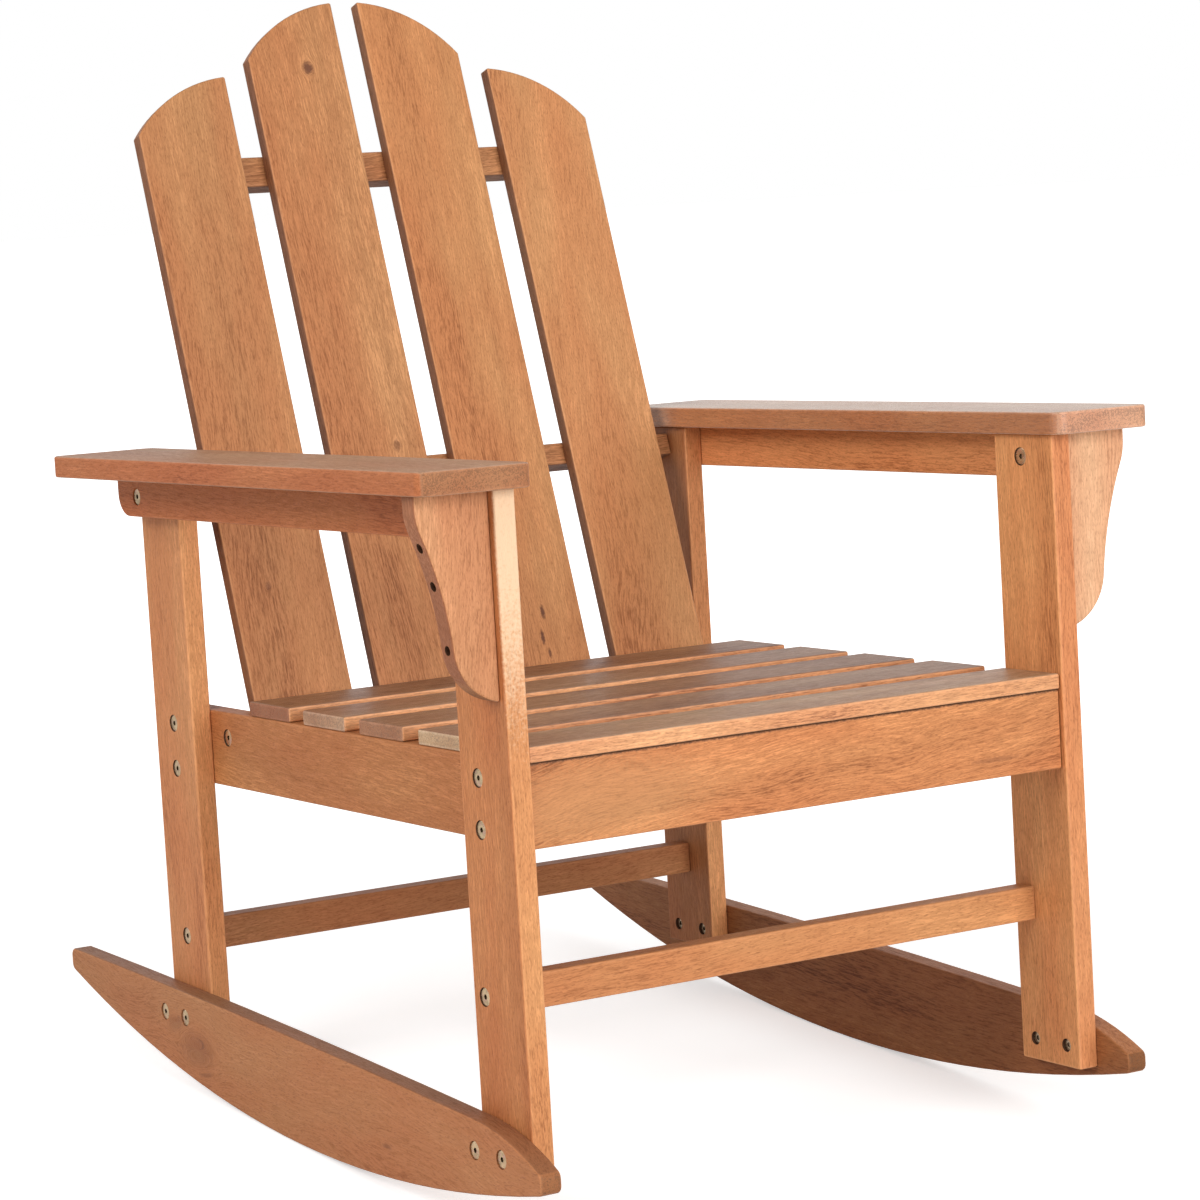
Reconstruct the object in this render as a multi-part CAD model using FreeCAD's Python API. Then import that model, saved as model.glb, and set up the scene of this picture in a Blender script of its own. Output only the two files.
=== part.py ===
import FreeCAD, Part
import math
import os

# Rocking garden armchair of flat boards, in millimetres.
# The boards are laid out square to the legs: x across the chair, y from the front face of the
# front legs to the rear, z up from the tops of the legs, so that most heights are negative.
# The finished chair is then tipped back on its runners to the angle at which it balances,
# with the floor at z = 0.
# Left is the -x side, which is on the left of somebody who stands before the chair.

# Legs
WIDTH_BETWEEN_LEGS = 520.0
LEG_PITCH = 558.0
LEG_THICKNESS = 19.0
FRONT_LEG_DEPTH = 78.0
REAR_LEG_DEPTH = 77.0
FRONT_LEG_LENGTH = 539.0
REAR_LEG_STEP = 32.0

# Seat frame
SEAT_RAIL_THICKNESS = 20.0
SEAT_RAIL_HEIGHT = 67.0
SEAT_RAIL_DROP = 213.5
SEAT_RAIL_END_INSET = 4.0
APRON_THICKNESS = 19.0
APRON_HEIGHT = 67.5
APRON_SETBACK = 5.0

# Seat slats
SEAT_SLAT_COUNT = 5
SEAT_SLAT_WIDTH = 75.0
SEAT_SLAT_THICKNESS = 13.0
SEAT_SETBACK = 3.0
END_GAP = 0.5

# Stretchers between the legs, and the section that the cross rails of the back share
BATTEN_WIDTH = 29.0
BATTEN_THICKNESS = 21.0
FRONT_STRETCHER_SETBACK = 50.5
FRONT_STRETCHER_DROP = 386.5
REAR_STRETCHER_SETBACK = 31.5
REAR_STRETCHER_DROP = 406.5

# Back
BACK_LEAN = 17.25
BACK_GAP = 32.0
BACK_SLAT_COUNT = 4
BACK_SLAT_WIDTH = 99.0
BACK_SLAT_THICKNESS = 14.0
BACK_SIDE_CLEARANCE = 1.0
BACK_SLAT_FOOT = 50.0
MIDDLE_SLAT_RISE = 650.0
OUTER_SLAT_RISE = 580.0
SLAT_TOP_RADIUS = 140.0
SLAT_TOP_OFFSET = 12.0
LOWER_RAIL_RISE = -30.0
MIDDLE_RAIL_RISE = 197.5
UPPER_RAIL_RISE = 491.0
UPPER_RAIL_INSET = 20.0
MIDDLE_BOLT_SETBACK = 40.8

# Arms
ARMREST_THICKNESS = 19.0
ARMREST_INNER_OVERHANG = 7.5
ARMREST_WIDTH = 99.5
ARMREST_FRONT_OVERHANG = 18.0
ARMREST_REAR_OVERHANG = 26.0
ARMREST_CORNER_RADIUS = 10.5
ARM_RAIL_THICKNESS = 20.0
ARM_RAIL_HEIGHT = 38.5
ARM_RAIL_REAR_OVERHANG = 3.5
ARM_RAIL_CORNER_RADIUS = 20.0
BRACKET_THICKNESS = 20.0
BRACKET_SETBACK = 8.0
BRACKET_WIDTH = 65.0
BRACKET_HEIGHT = 164.0
BRACKET_LIP = 10.0
BRACKET_SHOULDER_WIDTH = 61.0
BRACKET_SHOULDER_DROP = 30.0
BRACKET_WAIST_WIDTH = 38.0
BRACKET_WAIST_DROP = 122.0

# Rockers
ROCKER_THICKNESS = 19.0
RUNNER_RADIUS = 1600.0
RUNNER_CENTRE_OFFSET = 37.5
RUNNER_CLEARANCE = 32.0
ROCKER_FRONT_REACH = 41.0
ROCKER_REAR_REACH = 185.0
ROCKER_LAP = 44.5
ROCKER_TOP_FRONT_SETBACK = 60.0
ROCKER_TOP_BULGE = 3.4
ROCKER_NOSE_HEIGHT = 15.5
ROCKER_TAIL_HEIGHT = 19.6
ROCKER_TIP_RADIUS = 9.0

# Edges of the boards
EASING = 2.0

# Bolts with flat heads, and the nuts that they turn in
BOLT_DIAMETER = 6.0
BOLT_HEAD_DIAMETER = 15.0
BOLT_HEAD_THICKNESS = 2.2
BOLT_HEAD_RECESS = 0.8
BOLT_END_REACH = 7.0
SOCKET_ACROSS_FLATS = 4.0
SOCKET_DEPTH = 3.0
NUT_HEAD_DIAMETER = 11.0
NUT_HEAD_THICKNESS = 1.5
NUT_RECESS = 2.5
SLEEVE_DIAMETER = 8.5
SLEEVE_LENGTH = 12.0
BARREL_NUT_DIAMETER = 10.0
BARREL_NUT_LENGTH = 13.0
BARREL_NUT_DEPTH = 20.0
HOLE_CLEARANCE = 0.25

# Places of the bolts on the boards
SEAT_BOLT_PITCH = 41.0
FRONT_SEAT_BOLT_SETBACK = 51.0
REAR_SEAT_BOLT_SETBACK = 39.0
ROCKER_BOLT_PITCH = 41.5
FRONT_ROCKER_BOLT_SETBACK = 17.5
REAR_ROCKER_BOLT_SETBACK = 17.5
FRONT_ROCKER_BOLT_LIFT = 19.0
REAR_ROCKER_BOLT_LIFT = 17.0
ARM_SCREW_SETBACK = 43.0
ARM_SCREW_GRIP = 14.0

# Wood screws
SCREW_DIAMETER = 4.0
SCREW_HEAD_DIAMETER = 7.5
SCREW_HEAD_THICKNESS = 2.5
SCREW_BITE = 13.0
BRACKET_UPPER_SCREW_DROP = 41.0
BRACKET_MIDDLE_SCREW_DROP = 71.0
BRACKET_LOWER_SCREW_DROP = 121.0
BRACKET_SCREW_GRIP = 16.0
SLAT_SCREW_BITE = 9.0
SLAT_SCREW_INSET = 32.0

# Density of each material in kilograms per cubic millimetre
WOOD_DENSITY = 0.60e-6
STEEL_DENSITY = 7.85e-6

# Shape of the sockets, the most of a rocker's end that its rounding takes, and how near two
# coordinates are when they count as the same
HEXAGON_SIDES = 6
TIP_SHARE = 0.45
TOLERANCE = 0.01

# Places worked out from the sizes above
HALF_WIDTH = WIDTH_BETWEEN_LEGS / 2
LEG_OUTER = HALF_WIDTH + LEG_THICKNESS
REAR_LEG_LENGTH = FRONT_LEG_LENGTH - REAR_LEG_STEP
REAR_LEG_REAR = LEG_PITCH + REAR_LEG_DEPTH
SEAT_RAIL_INNER = HALF_WIDTH - SEAT_RAIL_THICKNESS
SEAT_RAIL_REAR = REAR_LEG_REAR - SEAT_RAIL_END_INSET
APRON_REAR = APRON_SETBACK + APRON_THICKNESS
SEAT_TOP = SEAT_SLAT_THICKNESS - SEAT_RAIL_DROP
LEAN_SINE = math.sin(math.radians(BACK_LEAN))
LEAN_COSINE = math.cos(math.radians(BACK_LEAN))
MIDDLE_BOLT_DEPTH = BACK_SLAT_THICKNESS + BATTEN_WIDTH / 2
BACK_FOOT_Y = (LEG_PITCH + MIDDLE_BOLT_SETBACK - MIDDLE_RAIL_RISE * LEAN_SINE
               - MIDDLE_BOLT_DEPTH * LEAN_COSINE)
SEAT_DEPTH = BACK_FOOT_Y - BACK_GAP - SEAT_SETBACK
SEAT_SLAT_PITCH = (SEAT_DEPTH - SEAT_SLAT_WIDTH) / (SEAT_SLAT_COUNT - 1)
BACK_OUTER = SEAT_RAIL_INNER - BACK_SIDE_CLEARANCE
BACK_SLAT_PITCH = (2 * BACK_OUTER - BACK_SLAT_WIDTH) / (BACK_SLAT_COUNT - 1)
BRACKET_REAR = BRACKET_SETBACK + BRACKET_THICKNESS
ARM_RAIL_OUTER = LEG_OUTER + ARM_RAIL_THICKNESS
ROCKER_OUTER = LEG_OUTER + ROCKER_THICKNESS
RUNNER_CENTRE_Y = REAR_LEG_REAR / 2 - RUNNER_CENTRE_OFFSET
RUNNER_CENTRE_Z = RUNNER_RADIUS - FRONT_LEG_LENGTH - RUNNER_CLEARANCE

X_AXIS = FreeCAD.Vector(1, 0, 0)
Y_AXIS = FreeCAD.Vector(0, 1, 0)
Z_AXIS = FreeCAD.Vector(0, 0, 1)
SIDES = (("left", -1), ("right", 1))

nodes = {}
hardware = {}


def point(x, y, z):
    return FreeCAD.Vector(x, y, z)


def ease(solid, edges=None):
    """Rounds the given edges of a board, or all of them, with the small radius of a sanded arris."""
    return solid.makeFillet(EASING, edges or solid.Edges)


def board(x0, x1, y0, y1, z0, z1):
    return ease(Part.makeBox(x1 - x0, y1 - y0, z1 - z0, point(x0, y0, z0)))


def side_board(side, inner, outer, y0, y1, z0, z1):
    """A board on the left or the right, between two distances from the middle of the chair."""
    low, high = sorted((side * inner, side * outer))
    return board(low, high, y0, y1, z0, z1)


def rim(solid, axis, levels):
    """The edges of a plate that lie on its two faces, at the given coordinates along one axis."""
    found = []
    for edge in solid.Edges:
        box = edge.BoundBox
        extents = {"x": (box.XMin, box.XMax), "y": (box.YMin, box.YMax), "z": (box.ZMin, box.ZMax)}
        low, high = extents[axis]
        if any(abs(low - level) < TOLERANCE and abs(high - level) < TOLERANCE for level in levels):
            found.append(edge)
    return found


def plate(edges, thickness_vector):
    """A plate whose outline is a closed run of edges, in order."""
    return Part.Face(Part.Wire(edges)).extrude(thickness_vector)


def line(a, b):
    return Part.makeLine(a, b)


def arc_through(a, b, c):
    return Part.Arc(a, b, c).toShape()


def tangent_arc(start, direction, end):
    """The arc that leaves start along direction and reaches end, with its direction at the end."""
    chord = end - start
    along = direction.normalize()
    half = chord * 0.5
    unit = FreeCAD.Vector(chord).normalize()
    turn = along.getAngle(unit)
    across = along - unit * along.dot(unit)
    across.normalize()
    middle = start + half + across * (chord.Length / 2 * math.tan(turn / 2))
    leaving = unit * (2 * along.dot(unit)) - along
    return arc_through(start, middle, end), leaving


def rod(origin, direction, start, end, diameter):
    """A cylinder along a direction, from one distance to another past the origin."""
    return Part.makeCylinder(diameter / 2, end - start, origin + direction * start, direction)


def hexagon(origin, direction, depth, across_flats):
    """A hexagonal prism that goes into a face from the origin."""
    across = Z_AXIS.cross(direction).normalize()
    up = direction.cross(across)
    corner_angle = 2 * math.pi / HEXAGON_SIDES
    radius = across_flats / 2 / math.cos(corner_angle / 2)
    corners = []
    for step in range(HEXAGON_SIDES + 1):
        angle = step * corner_angle
        corners.append(origin + across * (radius * math.cos(angle)) + up * (radius * math.sin(angle)))
    return Part.Face(Part.makePolygon(corners)).extrude(direction * depth)


def drill(names, tools):
    for name in names:
        for tool in tools:
            nodes[name] = nodes[name].cut(tool)


def add_hardware(group, solid):
    hardware.setdefault(group, []).append(solid)


def bolt(group, origin, direction, length):
    """A flat-headed bolt that enters a face at the origin, with its head a little below the face."""
    head_end = BOLT_HEAD_RECESS + BOLT_HEAD_THICKNESS
    head = rod(origin, direction, BOLT_HEAD_RECESS, head_end, BOLT_HEAD_DIAMETER)
    shank = rod(origin, direction, head_end, length, BOLT_DIAMETER)
    socket = hexagon(origin + direction * BOLT_HEAD_RECESS, direction, SOCKET_DEPTH, SOCKET_ACROSS_FLATS)
    add_hardware(group, head.fuse(shank).removeSplitter().cut(socket))


def bolt_hole(origin, direction, length):
    head_end = BOLT_HEAD_RECESS + BOLT_HEAD_THICKNESS
    return [rod(origin, direction, -EASING, head_end, BOLT_HEAD_DIAMETER + 2 * HOLE_CLEARANCE),
            rod(origin, direction, 0, length, BOLT_DIAMETER + 2 * HOLE_CLEARANCE)]


def sleeve_bolt(group, origin, direction, names, grip):
    """A bolt through the named boards, whose far end turns in a sleeve nut let in from behind."""
    back = origin + direction * grip
    inward = direction * -1
    head_end = NUT_RECESS + NUT_HEAD_THICKNESS
    length = grip - head_end
    bolt(group, origin, direction, length)
    nut = rod(back, inward, NUT_RECESS, head_end, NUT_HEAD_DIAMETER)
    nut = nut.fuse(rod(back, inward, head_end, head_end + SLEEVE_LENGTH, SLEEVE_DIAMETER)).removeSplitter()
    nut = nut.cut(rod(back, inward, head_end, head_end + SLEEVE_LENGTH, BOLT_DIAMETER + 2 * HOLE_CLEARANCE))
    nut = nut.cut(hexagon(back + inward * NUT_RECESS, inward, NUT_HEAD_THICKNESS, SOCKET_ACROSS_FLATS))
    add_hardware("sleeve_nuts", nut)
    tools = bolt_hole(origin, direction, grip)
    tools.append(rod(back, inward, -EASING, head_end, NUT_HEAD_DIAMETER + 2 * HOLE_CLEARANCE))
    tools.append(rod(back, inward, head_end, head_end + SLEEVE_LENGTH, SLEEVE_DIAMETER + 2 * HOLE_CLEARANCE))
    drill(names, tools)


def barrel_bolt(group, origin, direction, names, face_depth, nut_face_depth, cross):
    """A bolt through the named boards into the end of the last one, where a barrel nut holds it.
    The nut is let in along cross, from a face nut_face_depth away from the bolt."""
    nut_centre = origin + direction * (face_depth + BARREL_NUT_DEPTH)
    length = face_depth + BARREL_NUT_DEPTH + BOLT_END_REACH
    bolt(group, origin, direction, length)
    nut_start = nut_centre - cross * (BARREL_NUT_LENGTH / 2)
    nut = rod(nut_start, cross, 0, BARREL_NUT_LENGTH, BARREL_NUT_DIAMETER)
    nut = nut.cut(rod(nut_centre, direction, -BARREL_NUT_DIAMETER, BARREL_NUT_DIAMETER,
                      BOLT_DIAMETER + 2 * HOLE_CLEARANCE))
    add_hardware("barrel_nuts", nut)
    drill(names, bolt_hole(origin, direction, length + HOLE_CLEARANCE))
    hole = rod(nut_centre, cross, -nut_face_depth - EASING, BARREL_NUT_LENGTH / 2,
               BARREL_NUT_DIAMETER + 2 * HOLE_CLEARANCE)
    drill(names[-1:], [hole])


def wood_screw(group, origin, direction, names, head_depth, length):
    """A screw whose head sits head_depth below the origin, in the named boards."""
    head_end = head_depth + SCREW_HEAD_THICKNESS
    head = rod(origin, direction, head_depth, head_end, SCREW_HEAD_DIAMETER)
    shank = rod(origin, direction, head_end, length, SCREW_DIAMETER)
    add_hardware(group, head.fuse(shank).removeSplitter())
    drill(names, [rod(origin, direction, -EASING, head_end, SCREW_HEAD_DIAMETER + 2 * HOLE_CLEARANCE),
                  rod(origin, direction, 0, length, SCREW_DIAMETER + 2 * HOLE_CLEARANCE)])


def on_back(x, rise, depth):
    """A point on the back: rise is measured up the slats from the seat's top, depth behind their faces."""
    return point(x, BACK_FOOT_Y + rise * LEAN_SINE + depth * LEAN_COSINE,
                 SEAT_TOP + rise * LEAN_COSINE - depth * LEAN_SINE)


def lean_back(solid):
    """Takes a solid drawn upright, with rise along z and depth along y, to its place on the back."""
    solid.rotate(point(0, 0, 0), X_AXIS, -BACK_LEAN)
    solid.translate(on_back(0, 0, 0))
    return solid


# Legs
def make_legs():
    for name, side in SIDES:
        nodes["leg_front_" + name] = side_board(side, HALF_WIDTH, LEG_OUTER, 0, FRONT_LEG_DEPTH,
                                                -FRONT_LEG_LENGTH, 0)
        nodes["leg_rear_" + name] = side_board(side, HALF_WIDTH, LEG_OUTER, LEG_PITCH, REAR_LEG_REAR,
                                               -REAR_LEG_LENGTH, 0)


# Seat frame and slats
def make_seat():
    low = -SEAT_RAIL_DROP - SEAT_RAIL_HEIGHT
    for name, side in SIDES:
        nodes["seat_rail_" + name] = side_board(side, SEAT_RAIL_INNER, HALF_WIDTH, APRON_REAR,
                                                SEAT_RAIL_REAR, low, -SEAT_RAIL_DROP)
    reach = HALF_WIDTH - END_GAP
    nodes["apron"] = board(-reach, reach, APRON_SETBACK, APRON_REAR,
                           -SEAT_RAIL_DROP - APRON_HEIGHT, -SEAT_RAIL_DROP)
    for index in range(SEAT_SLAT_COUNT):
        front = SEAT_SETBACK + index * SEAT_SLAT_PITCH
        nodes["seat_slat_%d" % (index + 1)] = board(-reach, reach, front, front + SEAT_SLAT_WIDTH,
                                                    -SEAT_RAIL_DROP, SEAT_TOP)


def make_stretchers():
    for name, front, drop in (("front", FRONT_STRETCHER_SETBACK, FRONT_STRETCHER_DROP),
                              ("rear", LEG_PITCH + REAR_STRETCHER_SETBACK, REAR_STRETCHER_DROP)):
        nodes["stretcher_" + name] = board(-HALF_WIDTH, HALF_WIDTH, front, front + BATTEN_THICKNESS,
                                           -drop - BATTEN_WIDTH, -drop)


# Back slats, each with an arched top that falls to its outer edge
def back_slat(centre, rise):
    side = 1 if centre > 0 else -1
    inner = centre - side * BACK_SLAT_WIDTH / 2
    outer = centre + side * BACK_SLAT_WIDTH / 2
    arch_centre_x = inner - side * SLAT_TOP_OFFSET
    arch_centre_z = rise - math.sqrt(SLAT_TOP_RADIUS ** 2 - SLAT_TOP_OFFSET ** 2)

    def on_arch(x):
        return point(x, 0, arch_centre_z + math.sqrt(SLAT_TOP_RADIUS ** 2 - (x - arch_centre_x) ** 2))

    foot_inner = point(inner, 0, -BACK_SLAT_FOOT)
    foot_outer = point(outer, 0, -BACK_SLAT_FOOT)
    outline = [line(foot_inner, foot_outer), line(foot_outer, on_arch(outer)),
               arc_through(on_arch(outer), on_arch(centre), on_arch(inner)),
               line(on_arch(inner), foot_inner)]
    slat = plate(outline, Y_AXIS * BACK_SLAT_THICKNESS)
    return lean_back(ease(slat))


def back_rail(half_length, rise, height, depth):
    """A cross rail behind the slats, whose middle is at the given rise."""
    return lean_back(board(-half_length, half_length, BACK_SLAT_THICKNESS, BACK_SLAT_THICKNESS + depth,
                           rise - height / 2, rise + height / 2))


def make_back():
    for index in range(BACK_SLAT_COUNT):
        centre = (index - (BACK_SLAT_COUNT - 1) / 2) * BACK_SLAT_PITCH
        outermost = index in (0, BACK_SLAT_COUNT - 1)
        nodes["back_slat_%d" % (index + 1)] = back_slat(centre, OUTER_SLAT_RISE if outermost
                                                        else MIDDLE_SLAT_RISE)
    nodes["back_rail_lower"] = back_rail(SEAT_RAIL_INNER, LOWER_RAIL_RISE, BATTEN_WIDTH, BATTEN_THICKNESS)
    nodes["back_rail_middle"] = back_rail(HALF_WIDTH, MIDDLE_RAIL_RISE, BATTEN_THICKNESS, BATTEN_WIDTH)
    nodes["back_rail_upper"] = back_rail(BACK_OUTER - UPPER_RAIL_INSET, UPPER_RAIL_RISE, BATTEN_WIDTH,
                                         BATTEN_THICKNESS)


# Arms
def arm_bracket(side):
    """A board across the front of the arm, with a shoulder, a waist and a rounded toe on the leg."""
    def at(width, drop):
        return point(side * (LEG_OUTER + width), BRACKET_SETBACK, -drop)

    lip = at(BRACKET_WIDTH, BRACKET_LIP)
    shoulder = at(BRACKET_SHOULDER_WIDTH, BRACKET_SHOULDER_DROP)
    waist = at(BRACKET_WAIST_WIDTH, BRACKET_WAIST_DROP)
    toe = at(0, BRACKET_HEIGHT)
    shoulder_arc, direction = tangent_arc(lip, Z_AXIS * -1, shoulder)
    waist_arc, direction = tangent_arc(shoulder, direction, waist)
    toe_arc, direction = tangent_arc(waist, direction, toe)
    outline = [line(at(0, 0), at(BRACKET_WIDTH, 0)), line(at(BRACKET_WIDTH, 0), lip), shoulder_arc,
               waist_arc, toe_arc, line(toe, at(0, 0))]
    return ease(plate(outline, Y_AXIS * BRACKET_THICKNESS))


def arm_rail(side):
    low, high = sorted((side * LEG_OUTER, side * ARM_RAIL_OUTER))
    rear = REAR_LEG_REAR + ARM_RAIL_REAR_OVERHANG
    rail = Part.makeBox(high - low, rear - BRACKET_REAR, ARM_RAIL_HEIGHT,
                        point(low, BRACKET_REAR, -ARM_RAIL_HEIGHT))
    corner = [edge for edge in rail.Edges
              if abs(edge.BoundBox.YMin - rear) < TOLERANCE
              and abs(edge.BoundBox.ZMax + ARM_RAIL_HEIGHT) < TOLERANCE]
    rail = rail.makeFillet(ARM_RAIL_CORNER_RADIUS, corner)
    return ease(rail, rim(rail, "x", (low, high)))


def armrest(side):
    inner = HALF_WIDTH - ARMREST_INNER_OVERHANG
    low, high = sorted((side * inner, side * (inner + ARMREST_WIDTH)))
    front = -ARMREST_FRONT_OVERHANG
    rear = REAR_LEG_REAR + ARMREST_REAR_OVERHANG
    rest = Part.makeBox(high - low, rear - front, ARMREST_THICKNESS, point(low, front, 0))
    corners = [edge for edge in rest.Edges if edge.BoundBox.ZLength > ARMREST_THICKNESS / 2]
    rest = rest.makeFillet(ARMREST_CORNER_RADIUS, corners)
    return ease(rest, rim(rest, "z", (0, ARMREST_THICKNESS)))


def make_arms():
    for name, side in SIDES:
        nodes["arm_bracket_" + name] = arm_bracket(side)
        nodes["arm_rail_" + name] = arm_rail(side)
        nodes["armrest_" + name] = armrest(side)


# Rockers
def on_runner(y):
    """The point of the runner's arc at the given distance behind the front legs' faces."""
    fall = math.sqrt(RUNNER_RADIUS ** 2 - (y - RUNNER_CENTRE_Y) ** 2)
    return point(0, y, RUNNER_CENTRE_Z - fall)


def rocker(side):
    front = -ROCKER_FRONT_REACH
    rear = REAR_LEG_REAR + ROCKER_REAR_REACH
    top_front = point(0, ROCKER_TOP_FRONT_SETBACK, ROCKER_LAP - FRONT_LEG_LENGTH)
    top_rear = on_runner(rear) + Z_AXIS * ROCKER_TAIL_HEIGHT
    nose = on_runner(front) + Z_AXIS * ROCKER_NOSE_HEIGHT
    middle = (top_front + top_rear) * 0.5 + Z_AXIS * ROCKER_TOP_BULGE
    top = Part.Arc(top_rear, middle, top_front)
    leaving = FreeCAD.Vector(top.toShape().tangentAt(top.toShape().LastParameter))
    fall, direction = tangent_arc(top_front, leaving, nose)
    outline = [top.toShape(), fall, line(nose, on_runner(front)),
               arc_through(on_runner(front), on_runner(RUNNER_CENTRE_Y), on_runner(rear)),
               line(on_runner(rear), top_rear)]
    solid = plate(outline, X_AXIS * (side * ROCKER_THICKNESS))
    solid.translate(X_AXIS * (side * LEG_OUTER))
    tips = rim(solid, "y", (front, rear))
    tips = [edge for edge in tips if edge.BoundBox.ZLength < TOLERANCE]
    solid = solid.makeFillet(min(ROCKER_TIP_RADIUS, TIP_SHARE * ROCKER_NOSE_HEIGHT,
                                 TIP_SHARE * ROCKER_TAIL_HEIGHT), tips)
    return ease(solid, rim(solid, "x", (side * LEG_OUTER, side * ROCKER_OUTER)))


def make_rockers():
    for name, side in SIDES:
        nodes["rocker_" + name] = rocker(side)


# Bolts, nuts and screws
def seat_bolts(name, side):
    middle = -SEAT_RAIL_DROP - SEAT_RAIL_HEIGHT / 2
    inward = X_AXIS * -side
    for leg, y in (("leg_front_", FRONT_SEAT_BOLT_SETBACK),
                   ("leg_rear_", LEG_PITCH + REAR_SEAT_BOLT_SETBACK)):
        for offset in (-SEAT_BOLT_PITCH / 2, SEAT_BOLT_PITCH / 2):
            sleeve_bolt("seat_bolts", point(side * LEG_OUTER, y, middle + offset), inward,
                        [leg + name, "seat_rail_" + name], LEG_THICKNESS + SEAT_RAIL_THICKNESS)


def rocker_bolts(name, side):
    inward = X_AXIS * -side
    for leg, y, z in (("leg_front_", FRONT_ROCKER_BOLT_SETBACK, FRONT_ROCKER_BOLT_LIFT - FRONT_LEG_LENGTH),
                      ("leg_rear_", LEG_PITCH + REAR_ROCKER_BOLT_SETBACK,
                       REAR_ROCKER_BOLT_LIFT - REAR_LEG_LENGTH)):
        for offset in (0, ROCKER_BOLT_PITCH):
            sleeve_bolt("rocker_bolts", point(side * ROCKER_OUTER, y + offset, z), inward,
                        ["rocker_" + name, leg + name], ROCKER_THICKNESS + LEG_THICKNESS)


def stretcher_bolts(name, side):
    inward = X_AXIS * -side
    for leg, stretcher, front, drop in (
            ("leg_front_", "stretcher_front", FRONT_STRETCHER_SETBACK, FRONT_STRETCHER_DROP),
            ("leg_rear_", "stretcher_rear", LEG_PITCH + REAR_STRETCHER_SETBACK, REAR_STRETCHER_DROP)):
        origin = point(side * LEG_OUTER, front + BATTEN_THICKNESS / 2, -drop - BATTEN_WIDTH / 2)
        barrel_bolt("stretcher_bolts", origin, inward, [leg + name, stretcher], LEG_THICKNESS,
                    BATTEN_WIDTH / 2, Z_AXIS)


def back_rail_bolts(name, side):
    inward = X_AXIS * -side
    upright = point(0, LEAN_SINE, LEAN_COSINE)
    lower = on_back(side * HALF_WIDTH, LOWER_RAIL_RISE, BACK_SLAT_THICKNESS + BATTEN_THICKNESS / 2)
    barrel_bolt("lower_back_bolts", lower, inward, ["seat_rail_" + name, "back_rail_lower"],
                SEAT_RAIL_THICKNESS, BATTEN_WIDTH / 2, upright)
    middle = on_back(side * ARM_RAIL_OUTER, MIDDLE_RAIL_RISE, MIDDLE_BOLT_DEPTH)
    barrel_bolt("middle_back_bolts", middle, inward,
                ["arm_rail_" + name, "leg_rear_" + name, "back_rail_middle"],
                ARM_RAIL_THICKNESS + LEG_THICKNESS, BATTEN_THICKNESS / 2, upright)


def arm_bolts(name, side):
    """The short bolt from the inside of each front leg into the arm rail."""
    origin = point(side * HALF_WIDTH, ARM_SCREW_SETBACK, -ARM_RAIL_HEIGHT / 2)
    outward = X_AXIS * side
    length = LEG_THICKNESS + ARM_SCREW_GRIP
    bolt("arm_bolts", origin, outward, length)
    drill(["leg_front_" + name, "arm_rail_" + name], bolt_hole(origin, outward, length))


def bracket_screws(name, side):
    """Screws from the curved edge of the bracket into the leg, with their heads deep in the board."""
    inward = X_AXIS * -side
    for drop in (BRACKET_UPPER_SCREW_DROP, BRACKET_MIDDLE_SCREW_DROP, BRACKET_LOWER_SCREW_DROP):
        origin = point(side * (LEG_OUTER + BRACKET_WIDTH), BRACKET_SETBACK + BRACKET_THICKNESS / 2, -drop)
        head_depth = BRACKET_WIDTH - BRACKET_SCREW_GRIP
        wood_screw("bracket_screws", origin, inward, ["arm_bracket_" + name, "leg_front_" + name],
                   head_depth, BRACKET_WIDTH + SCREW_BITE)


def back_screws():
    """Two screws from behind each cross rail into each slat."""
    forward = on_back(0, 0, 0) - on_back(0, 0, 1)
    for index in range(BACK_SLAT_COUNT):
        centre = (index - (BACK_SLAT_COUNT - 1) / 2) * BACK_SLAT_PITCH
        slat = "back_slat_%d" % (index + 1)
        for rail, rise, depth in (("back_rail_lower", LOWER_RAIL_RISE, BATTEN_THICKNESS),
                                  ("back_rail_middle", MIDDLE_RAIL_RISE, BATTEN_WIDTH),
                                  ("back_rail_upper", UPPER_RAIL_RISE, BATTEN_THICKNESS)):
            for offset in (-1, 1):
                x = centre + offset * (BACK_SLAT_WIDTH / 2 - SLAT_SCREW_INSET)
                origin = on_back(x, rise, BACK_SLAT_THICKNESS + depth)
                wood_screw(rail + "_screws", origin, forward, [rail, slat], 0, depth + SLAT_SCREW_BITE)


def make_hardware():
    for name, side in SIDES:
        seat_bolts(name, side)
        rocker_bolts(name, side)
        stretcher_bolts(name, side)
        back_rail_bolts(name, side)
        arm_bolts(name, side)
        bracket_screws(name, side)
    back_screws()
    for group, solids in hardware.items():
        nodes[group] = Part.makeCompound(solids)


# Balance on the runners
def centre_of_mass():
    total = 0.0
    moment = point(0, 0, 0)
    for name, shape in nodes.items():
        density = STEEL_DENSITY if name in hardware else WOOD_DENSITY
        for solid in shape.Solids:
            total += solid.Volume * density
            moment += solid.CenterOfMass * (solid.Volume * density)
    return moment * (1 / total), total


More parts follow.
